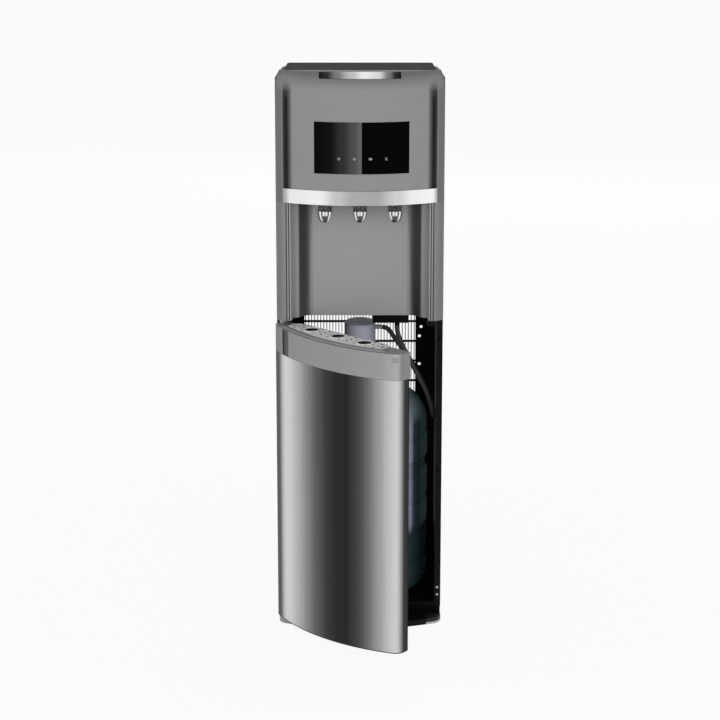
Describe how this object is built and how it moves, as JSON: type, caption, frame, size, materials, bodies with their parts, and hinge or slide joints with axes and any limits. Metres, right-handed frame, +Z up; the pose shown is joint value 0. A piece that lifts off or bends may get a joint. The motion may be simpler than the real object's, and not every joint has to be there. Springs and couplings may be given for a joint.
{
  "type": "water dispenser",
  "caption": "Free-standing bottom-loading water dispenser with a touch display, a row of taps over an open alcove, and a hinged steel door that carries the drip tray.",
  "frame": {"origin": "on the floor at the middle of the base ring, under the cabinet", "axes": "+X to the right seen from the front, +Y to the back, +Z up"},
  "size_m": [0.3123, 0.5165, 1.075],
  "materials": {
    "grey_gloss_plastic": "satin moulded grey",
    "black_plastic": "matt black moulding",
    "dark_lid_plastic": "fine matt grain",
    "side_sheet": "smooth grey paint",
    "zinc_sheet": "zinc plated sheet",
    "polished_metal": "bright",
    "steel_skin": "brushed upright",
    "tank_steel": "plain",
    "display_black": "glossy black",
    "mark_print": "printed",
    "board_green": "lacquer",
    "white_plastic": "plain",
    "foam": "bead foam",
    "compressor_black": "black paint",
    "soft_rubber": "matt",
    "copper": "bare copper",
    "condenser_black": "black paint",
    "switch_red": "gloss",
    "switch_green": "gloss",
    "hose_grey": "translucent grey tube",
    "water_tube": "plain",
    "tray_grey": "fine grain",
    "grille_silver": "silver paint",
    "bottle_blue": "clear blue",
    "cap_blue": "soft blue grey",
    "screw_zinc": "plated"
  },
  "bodies": {
    "root": {"base_plinth": "black_plastic", "foot_caps": "grey_gloss_plastic", "base_pan": "black_plastic", "left_side_panel": "side_sheet", "right_side_panel": "side_sheet", "left_liner": "black_plastic", "right_liner": "black_plastic", "rear_sill": "black_plastic", "mid_deck": "zinc_sheet", "upper_rear_panel": "side_sheet", "alcove_shell": "grey_gloss_plastic", "tap_plate": "black_plastic", "tap_collars": "black_plastic", "hot_tap": "polished_metal", "ambient_tap": "polished_metal", "cold_tap": "polished_metal", "chrome_band": "polished_metal", "front_fascia": "grey_gloss_plastic", "top_chrome_strip": "polished_metal", "top_lid": "dark_lid_plastic", "display_glass": "display_black", "display_module": "board_green", "panel_marks": "mark_print", "hot_solenoid": "white_plastic", "ambient_solenoid": "white_plastic", "cold_solenoid": "white_plastic", "tank_shelf": "zinc_sheet", "cold_tank": "tank_steel", "cold_tank_foam": "foam", "hot_tank": "tank_steel", "hot_tank_jacket": "foam", "compressor": "compressor_black", "compressor_feet": "soft_rubber", "filter_drier": "copper", "power_board": "board_green", "water_pump": "black_plastic", "condenser_tubes": "condenser_black", "condenser_wires": "condenser_black", "condenser_brackets": "zinc_sheet", "drain_plugs": "white_plastic", "switch_plate": "black_plastic", "power_inlet": "black_plastic", "water_tubes": "water_tube", "upper_hinge": "zinc_sheet", "lower_hinge": "zinc_sheet", "magnet_catch": "white_plastic", "water_bottle": "bottle_blue", "bottle_cap": "cap_blue", "probe_tube": "tank_steel", "suction_hose": "hose_grey", "panel_screws": "screw_zinc"},
    "door": {"door_shell": "black_plastic", "door_inner_panel": "black_plastic", "door_skin": "steel_skin", "door_housing": "grey_gloss_plastic", "strike_plate": "zinc_sheet"},
    "drip_tray": {"drip_tray": "tray_grey"},
    "drip_grille": {"drip_grille": "grille_silver"},
    "hot_switch": {"hot_switch": "switch_red"},
    "cold_switch": {"cold_switch": "switch_green"}
  },
  "joints": [
    {"name": "door_hinge", "type": "hinge", "parent": "root", "child": "door", "pos_m": [-0.142, -0.126, 0.3], "axis": [0, 0, -1], "range_deg": [-41, 69]},
    {"name": "tray_lift", "type": "slide", "parent": "door", "child": "drip_tray", "axis": [0, 0, 1], "range_m": [0, 0.06]},
    {"name": "grille_lift", "type": "slide", "parent": "drip_tray", "child": "drip_grille", "axis": [0, 0, 1], "range_m": [0, 0.05]},
    {"name": "hot_switch_rock", "type": "hinge", "parent": "root", "child": "hot_switch", "pos_m": [-0.089, 0.1723, 0.69], "axis": [-1, 0, 0], "range_deg": [0, 20]},
    {"name": "cold_switch_rock", "type": "hinge", "parent": "root", "child": "cold_switch", "pos_m": [-0.059, 0.1723, 0.69], "axis": [-1, 0, 0], "range_deg": [0, 20]}
  ]
}
